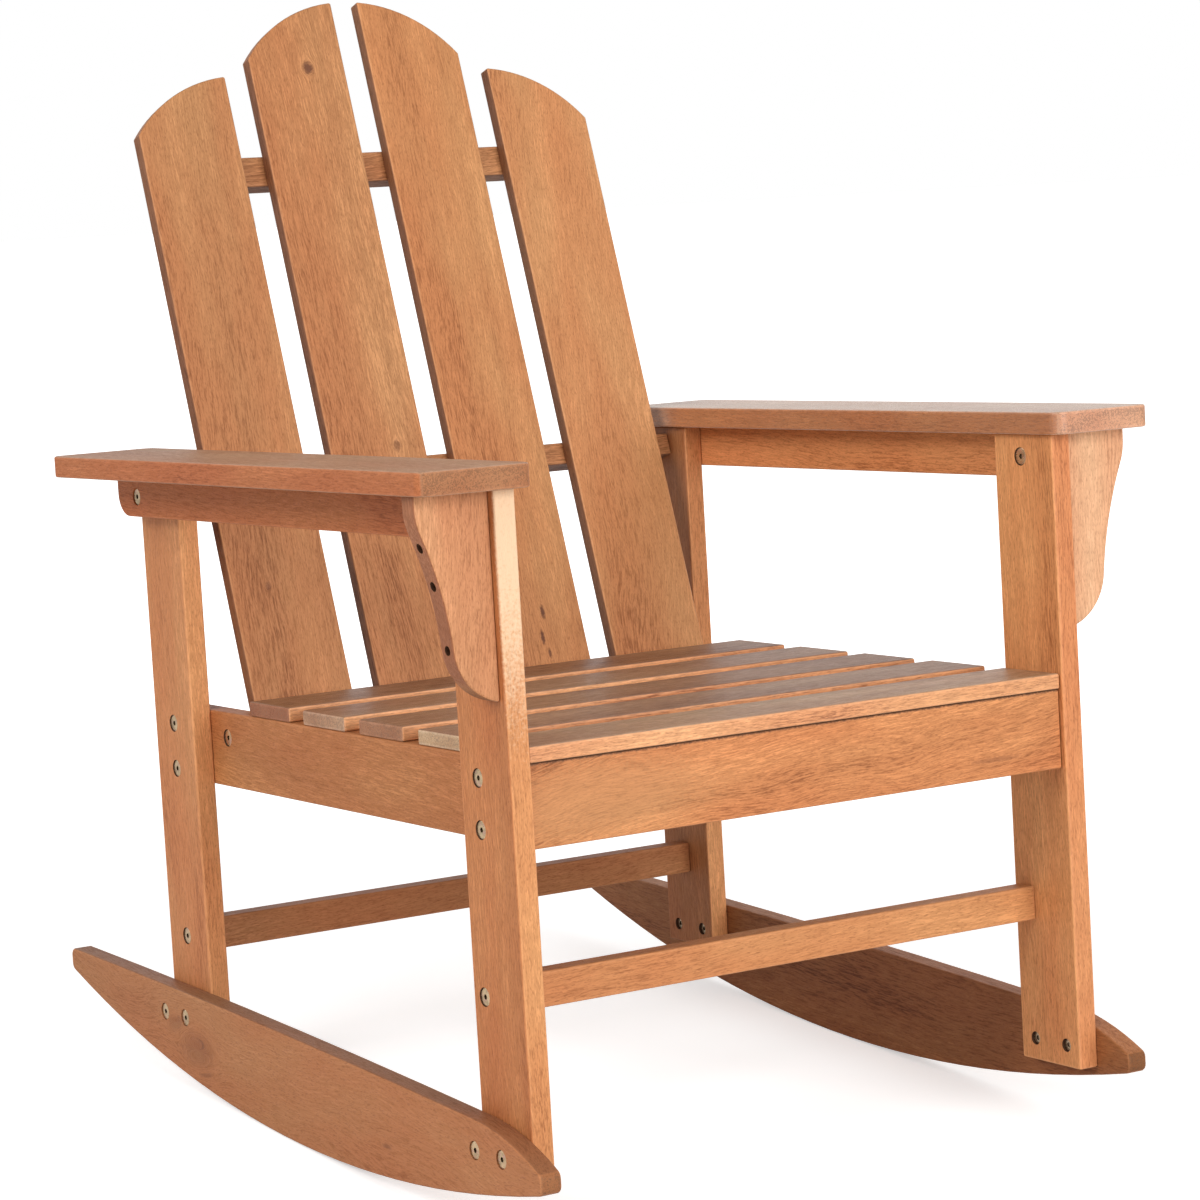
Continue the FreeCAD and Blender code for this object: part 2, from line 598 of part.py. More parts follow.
def settle():
    """Tips the chair about the runners' centre until its weight is straight below that centre,
    stands it on the floor and centres its outline over the origin."""
    weight, total = centre_of_mass()
    behind = weight.y - RUNNER_CENTRE_Y
    below = RUNNER_CENTRE_Z - weight.z
    lean = math.degrees(math.atan2(behind, below))
    centre = point(0, RUNNER_CENTRE_Y, RUNNER_CENTRE_Z)
    outline = FreeCAD.BoundBox()
    for shape in nodes.values():
        shape.rotate(centre, X_AXIS, -lean)
        shape.translate(point(0, -RUNNER_CENTRE_Y, RUNNER_RADIUS - RUNNER_CENTRE_Z))
        outline.add(shape.optimalBoundingBox(False))
    for shape in nodes.values():
        shape.translate(point(-outline.Center.x, -outline.Center.y, 0))
    print("lean %.3f degrees, mass %.2f kg," % (lean, total),
          "centre of mass y %.1f z %.1f" % (weight.y, weight.z))
    print("size %.1f x %.1f x %.1f" % (outline.XLength, outline.YLength, outline.ZLength),
          "low %.3f" % outline.ZMin, "runner centre y %.2f z %.2f" % (-outline.Center.y, RUNNER_RADIUS))


make_legs()
make_seat()
make_stretchers()
make_back()
make_arms()
make_rockers()
make_hardware()
settle()
os.makedirs("parts", exist_ok=True)
for name, shape in nodes.items():
    shape.exportStep("parts/%s.step" % name)
print(len(nodes), "nodes")
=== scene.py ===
# %% [markdown]
# # A rocking garden chair in oiled hardwood
# The chair is a frame of flat boards that stands on two arc shaped runners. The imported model
# already has every board at its real size, with its rounded arrises and bolt holes, so this lesson
# loads it and gives it what a builder's drawing lacks: wood that was sawn from real logs, plated
# bolts, and the light of a photographer's studio.

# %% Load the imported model
import math

import bpy
import bmesh
from mathutils import Matrix, Vector


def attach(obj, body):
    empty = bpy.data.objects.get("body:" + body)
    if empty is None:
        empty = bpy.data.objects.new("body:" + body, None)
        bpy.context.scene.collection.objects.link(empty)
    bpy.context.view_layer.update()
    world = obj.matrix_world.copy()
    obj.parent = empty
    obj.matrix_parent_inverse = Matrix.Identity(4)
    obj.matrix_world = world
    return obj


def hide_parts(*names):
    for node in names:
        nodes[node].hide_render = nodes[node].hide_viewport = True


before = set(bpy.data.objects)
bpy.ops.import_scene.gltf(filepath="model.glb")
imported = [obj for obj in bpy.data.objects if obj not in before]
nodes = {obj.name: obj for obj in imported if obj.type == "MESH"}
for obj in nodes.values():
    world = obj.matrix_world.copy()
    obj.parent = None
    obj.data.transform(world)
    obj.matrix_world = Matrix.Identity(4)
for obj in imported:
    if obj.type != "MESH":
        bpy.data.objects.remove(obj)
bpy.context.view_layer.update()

# %% [markdown]
# ## Camera
# The chair was photographed from its front left with a long lens, so its upright boards stay nearly
# parallel. A long lens needs a camera far away. The place, the turn and the lens below were worked
# out from the straight edges of the boards. The small shift moves the picture without tilting the
# camera, as a shift lens does.

# %% Camera
camera_data = bpy.data.cameras.new("camera")
camera_data.sensor_width = 36
camera_data.lens = 113.8
camera_data.shift_x = 0.049
camera_data.shift_y = 0.0157
camera = bpy.data.objects.new("camera", camera_data)
camera.location = (-1.7227, -2.8197, 0.9611)
camera.rotation_euler = [math.radians(turn) for turn in (80.711, 1.243, -31.224)]
bpy.context.scene.collection.objects.link(camera)
bpy.context.scene.camera = camera
print("camera at", tuple(camera.location))

# %% [markdown]
# ## Light
# A product photograph is lit by broad soft lamps. Here a large lamp stands straight in front of the
# chair, because the front faces of the boards are the brightest and neither armrest throws a shadow
# on the back. A weaker one stands high on the left, for the left faces are only a step darker, while
# what lies under the seat stays dark. The world fills the shadows. Large lamps give soft shadows and
# wide, weak reflections, which suits oiled wood. A sun lamp would have drawn hard edges.

# %% Lamps and world
LAMP_HEIGHT_TO_WIDTH = 0.7


def soft_lamp(name, place, target, width, power):
    lamp = bpy.data.lights.new(name, "AREA")
    lamp.shape = "RECTANGLE"
    lamp.size = width
    lamp.size_y = width * LAMP_HEIGHT_TO_WIDTH
    lamp.energy = power
    lamp_object = bpy.data.objects.new(name, lamp)
    lamp_object.location = place
    lamp_object.rotation_mode = "QUATERNION"
    lamp_object.rotation_quaternion = (Vector(target) - Vector(place)).to_track_quat("-Z", "Y")
    bpy.context.scene.collection.objects.link(lamp_object)


soft_lamp("front_lamp", (0.5, -4.3, 1.9), (0, 0, 0.45), width=3.0, power=142)
soft_lamp("left_lamp", (-3.6, -0.6, 2.8), (0, 0, 0.4), width=2.6, power=90)

world = bpy.data.worlds.new("studio")
bpy.context.scene.world = world
world.use_nodes = True
sky = world.node_tree
sky.nodes.clear()
sky_output = sky.nodes.new("ShaderNodeOutputWorld")
seen_or_lighting = sky.nodes.new("ShaderNodeMixShader")
fill_light = sky.nodes.new("ShaderNodeBackground")
fill_light.inputs["Color"].default_value = (1.0, 0.98, 0.96, 1)
fill_light.inputs["Strength"].default_value = 0.46
white_backdrop = sky.nodes.new("ShaderNodeBackground")
white_backdrop.inputs["Color"].default_value = (1, 1, 1, 1)
white_backdrop.inputs["Strength"].default_value = 1.0
light_path = sky.nodes.new("ShaderNodeLightPath")
seen = sky.nodes.new("ShaderNodeMath")
seen.operation = "MAXIMUM"
sky.links.new(light_path.outputs["Is Camera Ray"], seen.inputs[0])
sky.links.new(light_path.outputs["Is Glossy Ray"], seen.inputs[1])
sky.links.new(seen.outputs[0], seen_or_lighting.inputs["Fac"])
sky.links.new(fill_light.outputs[0], seen_or_lighting.inputs[1])
sky.links.new(white_backdrop.outputs[0], seen_or_lighting.inputs[2])
sky.links.new(seen_or_lighting.outputs[0], sky_output.inputs["Surface"])
bpy.context.scene.view_settings.view_transform = "Standard"
print("two lamps and a white world")

# %% [markdown]
# ## Floor
# The chair stands on a sheet of white paper. The paper is an ordinary matt surface, so it keeps the
# chair's soft shadow. To the camera it also glows a little, and more so far from the chair where the
# lamps reach less. That lifts it to the white of the backdrop without more light on the wood. It
# lies half a millimetre under the runners, so that no two surfaces share a place.

# %% Floor
def deselect_all():
    for item in bpy.context.selected_objects:
        item.select_set(False)


FLOOR_SIZE = 24
FLOOR_GAP = 0.0005
deselect_all()
bpy.ops.mesh.primitive_plane_add(size=FLOOR_SIZE, location=(0, 0, -FLOOR_GAP))
floor = bpy.context.object
floor.name = "paper_floor"
bpy.ops.object.transform_apply(location=True, rotation=True, scale=True)
paper = bpy.data.materials.new("white_paper")
paper.use_nodes = True
paper_tree = paper.node_tree
paper_shader = paper_tree.nodes["Principled BSDF"]
paper_shader.inputs["Base Color"].default_value = (0.86, 0.86, 0.86, 1)
paper_shader.inputs["Roughness"].default_value = 0.9
paper_shader.inputs["Specular IOR Level"].default_value = 0.1
paper_shader.inputs["Emission Color"].default_value = (1, 1, 1, 1)
paper_path = paper_tree.nodes.new("ShaderNodeLightPath")
paper_room = paper_tree.nodes.new("ShaderNodeTexCoord")
paper_distance = paper_tree.nodes.new("ShaderNodeVectorMath")
paper_distance.operation = "LENGTH"
paper_lift = paper_tree.nodes.new("ShaderNodeMapRange")
paper_lift.interpolation_type = "SMOOTHSTEP"
for label, value in (("From Min", 0.5), ("From Max", 2.2), ("To Min", 0.5), ("To Max", 1.0)):
    paper_lift.inputs[label].default_value = value
paper_glow = paper_tree.nodes.new("ShaderNodeMath")
paper_glow.operation = "MULTIPLY"
paper_tree.links.new(paper_room.outputs["Object"], paper_distance.inputs[0])
paper_tree.links.new(paper_distance.outputs["Value"], paper_lift.inputs["Value"])
paper_tree.links.new(paper_path.outputs["Is Camera Ray"], paper_glow.inputs[0])
paper_tree.links.new(paper_lift.outputs["Result"], paper_glow.inputs[1])
paper_tree.links.new(paper_glow.outputs[0], paper_shader.inputs["Emission Strength"])
floor.data.materials.append(paper)
print("floor of", tuple(round(side, 2) for side in floor.dimensions[:2]), "m")

# %% [markdown]
# ## Where each board lies
# Wood grain runs along a board, so a grain pattern has to know where the board lies and which way
# it points. The chair leans back a little on its runners, and its back leans further, so no board is
# square to the world. Each board's points are turned into the board's own directions: x along its
# length, y across its width and z through its thickness. The smallest and largest values there give
# its middle and its size. A material can then undo the same turn with a Mapping node.

# %% Measure the boards
CHAIR_LEAN = 4.195
BACK_LEAN = 17.25
ALONG = {
    "across_flat": ((1, 0, 0), (0, 1, 0)),
    "across_upright": ((1, 0, 0), (0, 0, 1)),
    "deep_flat": ((0, 1, 0), (1, 0, 0)),
    "deep_upright": ((0, 1, 0), (0, 0, 1)),
    "up_facing_front": ((0, 0, 1), (1, 0, 0)),
    "up_facing_side": ((0, 0, 1), (0, 1, 0)),
}


def board_turn(lie, lean):
    """The turn that takes a board's own directions to the room's."""
    length, width = (Vector(direction) for direction in ALONG[lie])
    own = Matrix((length, width, length.cross(width))).transposed()
    return Matrix.Rotation(math.radians(-lean), 3, "X") @ own


def measure_board(node_name, lie, lean):
    turn = board_turn(lie, lean)
    undo = turn.transposed()
    points = [undo @ vertex.co for vertex in nodes[node_name].data.vertices]
    low = Vector([min(point[axis] for point in points) for axis in range(3)])
    high = Vector([max(point[axis] for point in points) for axis in range(3)])
    return {"turn": turn.to_euler(), "middle": turn @ ((low + high) / 2), "half": (high - low) / 2}


example = measure_board("back_slat_2", "up_facing_front", CHAIR_LEAN + BACK_LEAN)
print("a back slat is", [round(2000 * half) for half in example["half"]], "mm")

# %% [markdown]
# ## Node groups
# Every board shares the same few effects, so each effect is a node group that is built once. A group
# is like a function: its sockets are its inputs and outputs, and each board's material gives it its
# own values. The helper below adds a node and links its inputs in one line, which keeps the trees
# short.

# %% Helpers for node trees
# A Mix node has a set of sockets for each kind of value. These are its colour sockets.
MIX_A, MIX_B, MIX_RESULT = 6, 7, 2


class Tree:
    """A node tree with short calls: every input is a value or an output socket of another node."""

    def __init__(self, tree):
        self.tree = tree

    def add(self, kind, inputs=(), **settings):
        node = self.tree.nodes.new("ShaderNode" + kind)
        for name, value in settings.items():
            setattr(node, name, value)
        pairs = inputs.items() if isinstance(inputs, dict) else enumerate(inputs)
        for key, value in pairs:
            if isinstance(value, bpy.types.NodeSocket):
                self.tree.links.new(value, node.inputs[key])
            elif value is not None:
                node.inputs[key].default_value = value
        return node

    def math(self, operation, a, b=0.0, clamp=False):
        return self.add("Math", (a, b), operation=operation, use_clamp=clamp).outputs[0]

    def vector(self, operation, a, b=(0, 0, 0)):
        return self.add("VectorMath", (a, b), operation=operation).outputs[0]

    def ramp(self, value, low, high, start=0.0, end=1.0):
        """Takes low to start and high to end, smoothly."""
        node = self.add("MapRange", {"Value": value, "From Min": low, "From Max": high, "To Min": start,
                                     "To Max": end}, interpolation_type="SMOOTHSTEP")
        return node.outputs["Result"]

    def blend(self, factor, a, b, mode="MIX"):
        node = self.add("Mix", (), data_type="RGBA", blend_type=mode)
        for socket, value in ((node.inputs["Factor"], factor), (node.inputs[MIX_A], a),
                              (node.inputs[MIX_B], b)):
            if isinstance(value, bpy.types.NodeSocket):
                self.tree.links.new(value, socket)
            else:
                socket.default_value = value
        return node.outputs[MIX_RESULT]

    def noise(self, vector, scale, detail, seed, roughness=0.5):
        node = self.add("TexNoise", {"Vector": vector, "W": seed, "Scale": scale, "Detail": detail,
                                     "Roughness": roughness}, noise_dimensions="4D")
        return node.outputs["Fac"]


def new_group(name, inputs, outputs):
    """A shader node group with named sockets; inputs maps a name to (type, default)."""
    group = bpy.data.node_groups.new(name, "ShaderNodeTree")
    for label, (kind, default) in inputs.items():
        socket = group.interface.new_socket(name=label, in_out="INPUT", socket_type="NodeSocket" + kind)
        if default is not None:
            socket.default_value = default
    for label, kind in outputs.items():
        group.interface.new_socket(name=label, in_out="OUTPUT", socket_type="NodeSocket" + kind)
    source = group.nodes.new("NodeGroupInput")
    sink = group.nodes.new("NodeGroupOutput")
    return Tree(group), source.outputs, sink


# %% [markdown]
# ## How wood gets its figure
# A board is cut out of a log, and a log is built of year rings around its pith. Where the saw passes
# far from the pith the rings show as soft straight bands, and near it as long arches. So the pattern
# is solid: it is worked out from the distance of each point to the log's pith, which runs beside
# the board and is a little askew to it. The end of the board then shows the same rings as arcs, with
# no seam at the arris. Fine streaks stretched along the grain are the fibres, short dark dashes are
# the open pores of this kind of hardwood, and soft clouds are where the oil went deeper.

# %% Group: grain of a sawn board
# How many cells of a pattern lie in a metre, along the board and then across it.
SWAY_CELLS = (4.0, 9.0, 9.0)
RINGS_ALONG, RINGS_ACROSS = 0.7, 42.0
FIBRES_ALONG, FIBRES_ACROSS = 60.0, 760.0
PORE_CELLS = (260.0, 1300.0, 1300.0)
CLOUD_CELLS = (5.0, 18.0, 18.0)
# How far the sway bends the log sideways and in depth, in metres.
SIDE_SWAY, DEPTH_SWAY = 0.06, 0.02

grain, given, result = new_group(
    "sawn_grain",
    {"Vector": ("Vector", None), "Seed": ("Float", 0.0), "Pith Side": ("Float", 0.03),
     "Pith Depth": ("Float", 0.06), "Slope": ("Float", 0.05), "Waves": ("Float", 0.5),
     "Fade": ("Float", 0.0)},
    {"Rings": "Float", "Fibres": "Float", "Pores": "Float", "Clouds": "Float"})
split = grain.add("SeparateXYZ", (given["Vector"],)).outputs
sway_room = grain.vector("MULTIPLY", given["Vector"], SWAY_CELLS)
sway = grain.math("SUBTRACT", grain.noise(sway_room, 1.0, 2.0, given["Seed"]), 0.5)
askew = grain.math("MULTIPLY", split[0], given["Slope"])
side = grain.math("SUBTRACT", grain.math("SUBTRACT", split[1], given["Pith Side"]), askew)
side_sway = grain.math("MULTIPLY", sway, grain.math("MULTIPLY", given["Waves"], SIDE_SWAY))
side = grain.math("ADD", side, side_sway)
depth = grain.math("SUBTRACT", split[2], given["Pith Depth"])
depth = grain.math("ADD", depth, grain.math("MULTIPLY", sway, DEPTH_SWAY))
radius = grain.math("SQRT", grain.math("ADD", grain.math("MULTIPLY", side, side),
                                       grain.math("MULTIPLY", depth, depth)))
ring_room = grain.add("CombineXYZ", (grain.math("MULTIPLY", split[0], RINGS_ALONG),
                                     grain.math("MULTIPLY", radius, RINGS_ACROSS), 0.0)).outputs[0]
rings = grain.noise(ring_room, 1.0, 3.0, grain.math("ADD", given["Seed"], 3.0), 0.6)
fibre_room = grain.add("CombineXYZ", (grain.math("MULTIPLY", split[0], FIBRES_ALONG),
                                      grain.math("MULTIPLY", side, FIBRES_ACROSS),
                                      grain.math("MULTIPLY", depth, FIBRES_ACROSS))).outputs[0]
fibres = grain.noise(fibre_room, 1.0, 3.0, grain.math("ADD", given["Seed"], 7.0), 0.65)
pore_room = grain.vector("MULTIPLY", given["Vector"], PORE_CELLS)
pores = grain.noise(pore_room, 1.0, 1.0, grain.math("ADD", given["Seed"], 11.0))
cloud_room = grain.vector("MULTIPLY", given["Vector"], CLOUD_CELLS)
clouds = grain.noise(cloud_room, 1.0, 3.0, grain.math("ADD", given["Seed"], 17.0), 0.5)
clouds = grain.math("ADD", clouds, grain.math("MULTIPLY", split[1], given["Fade"]))
for label, pattern, low, high in (("Rings", rings, 0.25, 0.75), ("Fibres", fibres, 0.32, 0.68),
                                  ("Pores", pores, 0.5, 0.72), ("Clouds", clouds, 0.25, 0.75)):
    grain.tree.links.new(grain.ramp(pattern, low, high), result.inputs[label])
print("group", grain.tree.name, "with", len(grain.tree.nodes), "nodes")

# %% [markdown]
# ## Faces, edges, ends and arrises
# A board has two broad faces, two narrow edges and two ends. Each was sawn another way through the
# log and takes the oil differently, so each has its own tone. A surface belongs to the edges when it
# faces across the grain, and to the ends when it faces along it. A sanded arris is worn, and it also
# gets a painted highlight: it is made a shade paler, as the light line that a rounded arris catches.
# The group finds the arrises from the board's own size: a point is near an arris when it is near two
# faces at once. A noise makes the pale line ragged. The bores of the bolts and screws are found too,
# as walls that stand square to the face or edge they were drilled from and lie 3 to 5 mm or more
# inside the board's outline. They get painted shade, a dark brown, for little light gets in.

# %% Group: edge, end and arris masks
ARRIS_CELLS = (90.0, 260.0, 260.0)
ARRIS_RAGGED = 0.005
BORE_NEAR, BORE_FAR = 0.003, 0.005

outline_masks, given, result = new_group(
    "board_masks",
    {"Vector": ("Vector", None), "Half Size": ("Vector", None), "Along": ("Vector", None),
     "Across": ("Vector", None), "Seed": ("Float", 0.0), "Width": ("Float", 0.003)},
    {"Edge": "Float", "End": "Float", "Arris": "Float", "Face Bore": "Float", "Edge Bore": "Float"})
inset = outline_masks.vector("SUBTRACT", given["Half Size"], outline_masks.vector("ABSOLUTE", given["Vector"]))
near = outline_masks.add("SeparateXYZ", (inset,)).outputs
nearest_pair = outline_masks.math("MINIMUM", outline_masks.math("MAXIMUM", near[0], near[1]),
                         outline_masks.math("MINIMUM", outline_masks.math("MAXIMUM", near[1], near[2]),
                                   outline_masks.math("MAXIMUM", near[0], near[2])))
arris_room = outline_masks.vector("MULTIPLY", given["Vector"], ARRIS_CELLS)
ragged = outline_masks.math("SUBTRACT", outline_masks.noise(arris_room, 1.0, 3.0, given["Seed"]), 0.5)
nearest_pair = outline_masks.math("ADD", nearest_pair, outline_masks.math("MULTIPLY", ragged, ARRIS_RAGGED))
facing = outline_masks.add("NewGeometry").outputs["Normal"]
for label, direction in (("End", given["Along"]), ("Edge", given["Across"])):
    share = outline_masks.add("VectorMath", (facing, direction), operation="DOT_PRODUCT").outputs["Value"]
    outline_masks.tree.links.new(outline_masks.ramp(outline_masks.math("ABSOLUTE", share), 0.6, 0.85), result.inputs[label])
# The arris mask, where the colour group paints wear and a painted highlight.
outline_masks.tree.links.new(outline_masks.ramp(nearest_pair, 0.0, given["Width"], 1.0, 0.0), result.inputs["Arris"])
through = outline_masks.vector("CROSS_PRODUCT", given["Along"], given["Across"])
face_share = outline_masks.math("ABSOLUTE", outline_masks.add("VectorMath", (facing, through),
                                            operation="DOT_PRODUCT").outputs["Value"])
# Bore walls: the colour group paints them dark as painted shade.
deep_inside = outline_masks.ramp(outline_masks.math("MINIMUM", near[0], near[1]), BORE_NEAR, BORE_FAR)
face_bore = outline_masks.math("MULTIPLY", deep_inside, outline_masks.ramp(face_share, 0.2, 0.5, 1.0, 0.0))
edge_bore = outline_masks.math("MULTIPLY", outline_masks.ramp(near[2], BORE_NEAR, BORE_FAR),
                      outline_masks.ramp(face_share, 0.25, 0.45))
outline_masks.tree.links.new(face_bore, result.inputs["Face Bore"])
outline_masks.tree.links.new(edge_bore, result.inputs["Edge Bore"])
print("group", outline_masks.tree.name, "with", len(outline_masks.tree.nodes), "nodes")

# %% [markdown]
# ## Knots and resin streaks
# A knot is where a branch grew through the trunk. The fibres flow round it, and its heart is dark
# and reddish. The group pushes the pattern's coordinates away from the knot, so that every noise
# bends round it, and gives out a mask for the dark heart. A resin streak is the same thing drawn out
# along the grain, so it shares the group and has a longer stretch.

# %% Group: a knot
KNOT_CELLS = 420.0
KNOT_FRAY = 0.9
KNOT_SOFTNESS = 0.6
# Keeps a division from meeting zero in the middle of a knot.
NO_ZERO = 0.0005
KNOT_BROWN = (0.1, 0.03, 0.015, 1)

knot, given, result = new_group(
    "knot",
    {"Vector": ("Vector", None), "Along": ("Float", 0.0), "Across": ("Float", 0.0),
     "Size": ("Float", 0.006), "Stretch": ("Float", 1.6), "Bend": ("Float", 1.0)},
    {"Vector": "Vector", "Heart": "Float"})
split = knot.add("SeparateXYZ", (given["Vector"],)).outputs
step_along = knot.math("SUBTRACT", split[0], given["Along"])
step_across = knot.math("SUBTRACT", split[1], given["Across"])
shrunk = knot.math("DIVIDE", step_along, given["Stretch"])
away = knot.math("SQRT", knot.math("ADD", knot.math("MULTIPLY", shrunk, shrunk),
                                   knot.math("MULTIPLY", step_across, step_across)))
frayed = knot.noise(given["Vector"], KNOT_CELLS, 2.0, 2.0)
reach = knot.math("DIVIDE", away, given["Size"])
push = knot.math("DIVIDE", knot.math("MULTIPLY", given["Size"], given["Bend"]),
                 knot.math("ADD", knot.math("MULTIPLY", reach, reach), KNOT_SOFTNESS))
side_sign = knot.math("DIVIDE", step_across, knot.math("ADD", away, NO_ZERO))
moved = knot.add("CombineXYZ", (split[0], knot.math("SUBTRACT", split[1],
                                                   knot.math("MULTIPLY", side_sign, push)),
                                split[2])).outputs[0]
fray = knot.math("MULTIPLY", knot.math("SUBTRACT", frayed, 0.5), KNOT_FRAY)
ragged_reach = knot.math("ADD", reach, fray)
knot.tree.links.new(moved, result.inputs["Vector"])
knot.tree.links.new(knot.ramp(ragged_reach, 0.35, 1.05, 1.0, 0.0), result.inputs["Heart"])
print("group", knot.tree.name, "with", len(knot.tree.nodes), "nodes")

# %% [markdown]
# ## The oiled wood
# The colour group picks the tone of the face, the edge or the end, and then multiplies it by a tint
# that goes from dark to pale with the masks above. Multiplying keeps each board's own colour, where
# mixing in fixed browns would make all boards alike. It also gives out a roughness and a height.
# Pores are tiny pits and fibres are tiny ridges, and a Bump node in the material shows them.

# %% Group: oiled wood colour
WHITE = (1, 1, 1, 1)
DARK_TINT, PALE_TINT = (0.42, 0.33, 0.26, 1), (1.5, 1.56, 1.66, 1)
WARM_DRIFT, COOL_DRIFT = (1.04, 0.93, 0.84, 1), (0.97, 1.04, 1.0, 1)
PORE_TINT = (0.5, 0.4, 0.33, 1)
# Arrises are made paler, partly for wear and partly as a painted highlight.
ARRIS_WEAR_AND_HIGHLIGHT = (1.45, 1.6, 1.8, 1)
END_BROWN = (0.1, 0.045, 0.02, 1)
# Bore walls are painted dark brown as painted shade.
BORE_SHADE = (0.08, 0.035, 0.018, 1)

finish, given, result = new_group(
    "oiled_wood",
    {"Face Tone": ("Color", (0.5, 0.23, 0.1, 1)), "Edge Tone": ("Color", (0.5, 0.23, 0.1, 1)),
     "End Tone": ("Color", (0.4, 0.18, 0.08, 1)), "Rings": ("Float", 0.5), "Fibres": ("Float", 0.5),
     "Pores": ("Float", 0.0), "Clouds": ("Float", 0.5), "Edge": ("Float", 0.0), "End": ("Float", 0.0),
     "Arris": ("Float", 0.0), "Bore": ("Float", 0.0), "Contrast": ("Float", 0.9)},
    {"Color": "Color", "Roughness": "Float", "Height": "Float"})
base_tone = finish.blend(given["Edge"], given["Face Tone"], given["Edge Tone"])
base_tone = finish.blend(given["End"], base_tone, given["End Tone"])
depth_of_tone = finish.math("ADD", finish.math("MULTIPLY", given["Rings"], 0.3),
                            finish.math("MULTIPLY", given["Clouds"], 0.28))
depth_of_tone = finish.math("ADD", depth_of_tone, finish.math("MULTIPLY", given["Fibres"], 0.42))
depth_of_tone = finish.math("MULTIPLY", finish.math("SUBTRACT", depth_of_tone, 0.5), given["Contrast"])
depth_of_tone = finish.math("ADD", depth_of_tone, 0.5)
toward_dark = finish.blend(finish.ramp(depth_of_tone, 0.0, 0.5), DARK_TINT, WHITE)
toward_pale = finish.blend(finish.ramp(depth_of_tone, 0.5, 1.0), toward_dark, PALE_TINT)
wood = finish.blend(1.0, base_tone, toward_pale, "MULTIPLY")
drift = finish.blend(given["Clouds"], WARM_DRIFT, COOL_DRIFT)
wood = finish.blend(1.0, wood, drift, "MULTIPLY")
wood = finish.blend(finish.math("MULTIPLY", given["Pores"], 0.5), wood,
                    finish.blend(1.0, wood, PORE_TINT, "MULTIPLY"))
end_pattern = finish.math("ADD", finish.math("MULTIPLY", given["Fibres"], 0.55),
                          finish.math("MULTIPLY", given["Rings"], 0.45))
end_mottle = finish.math("MULTIPLY", given["End"], finish.ramp(end_pattern, 0.4, 0.7))
wood = finish.blend(finish.math("MULTIPLY", end_mottle, 0.6), wood, END_BROWN)
# Paler arrises: partly wear, partly a painted highlight.
wood = finish.blend(finish.math("MULTIPLY", given["Arris"], 0.4), wood,
                    finish.blend(1.0, base_tone, ARRIS_WEAR_AND_HIGHLIGHT, "MULTIPLY"))
# Dark bore walls: painted shade.
wood = finish.blend(given["Bore"], wood, BORE_SHADE)
rough = finish.math("ADD", finish.math("MULTIPLY", given["Fibres"], -0.14), 0.6)
rough = finish.math("ADD", rough, finish.math("MULTIPLY", given["End"], 0.15), clamp=True)
relief = finish.math("SUBTRACT", finish.math("MULTIPLY", given["Fibres"], 0.5), given["Pores"])
for label, value in (("Color", wood), ("Roughness", rough), ("Height", relief)):
    finish.tree.links.new(value, result.inputs[label])
print("group", finish.tree.name, "with", len(finish.tree.nodes), "nodes")

# %% [markdown]
# ## A material for each board
# No two boards of the chair match, because each came from another place in another log. So each
# board gets a material of its own, with its own tones, its own seed and its own distance from the
# pith. The material turns the object's coordinates into the board's directions, passes them
# through any knots, and hands the masks to the colour group. An edge or an end without a tone of its
# own gets a darker shade of the face.

# %% Board material
EDGE_SHADE, END_SHADE = 0.9, 0.75


def join_group(tree, group, links, values):
    """Places a group in a material, links its sockets and sets its values."""
    placed = tree.add("Group", (), node_tree=group)
    for label, socket in links.items():
        tree.tree.links.new(socket, placed.inputs[label])
    for label, value in values.items():
        placed.inputs[label].default_value = value
    return placed.outputs


